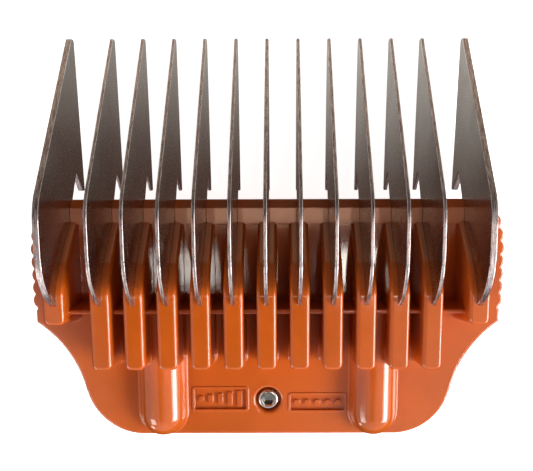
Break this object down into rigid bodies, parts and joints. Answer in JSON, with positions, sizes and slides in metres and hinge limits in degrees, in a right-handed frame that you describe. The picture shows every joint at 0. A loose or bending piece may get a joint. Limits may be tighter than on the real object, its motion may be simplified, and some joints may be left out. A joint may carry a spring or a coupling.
{
  "type": "clipper guard comb",
  "caption": "Wide clip-on clipper guard comb: ribbed moulded body, flat steel teeth with blade barbs, and a sprung sliding latch on the reverse.",
  "frame": {"origin": "middle of the footprint, on the plane that the tooth barbs and the latch's finger tab rest on", "axes": "+X across the comb, +Y towards the tooth tips, +Z towards the skin side; the blade seat is parallel to XY"},
  "size_m": [0.0762, 0.065, 0.0202],
  "materials": {
    "body_plastic": "glossy orange moulded plastic, slightly translucent at thin edges",
    "tooth_steel": "stamped stainless sheet, finely grained faces and ground edges",
    "latch_plastic": "charcoal acetal, fine satin texture",
    "latch_steel": "stamped spring steel, satin",
    "spring_steel": "drawn spring wire",
    "fastener_steel": "bright plated steel"
  },
  "bodies": {
    "comb": {"comb_body": "body_plastic", "tooth_01": "tooth_steel", "tooth_02": "tooth_steel", "tooth_03": "tooth_steel", "tooth_04": "tooth_steel", "tooth_05": "tooth_steel", "tooth_06": "tooth_steel", "tooth_07": "tooth_steel", "tooth_08": "tooth_steel", "tooth_09": "tooth_steel", "tooth_10": "tooth_steel", "tooth_11": "tooth_steel", "tooth_12": "tooth_steel", "tooth_13": "tooth_steel", "spring_left": "spring_steel", "spring_right": "spring_steel", "retaining_screw": "fastener_steel", "retaining_washer": "fastener_steel", "retaining_nut": "fastener_steel"},
    "latch": {"latch_slider": "latch_plastic", "latch_hook": "latch_steel", "hook_rivets": "fastener_steel"}
  },
  "joints": [
    {"name": "latch_pull", "type": "slide", "parent": "comb", "child": "latch", "axis": [0, -1, 0], "range_m": [0, 0.003], "stiffness_N_per_m": 1200, "springref_m": -0.0015, "deforming": ["spring_left", "spring_right"]}
  ]
}
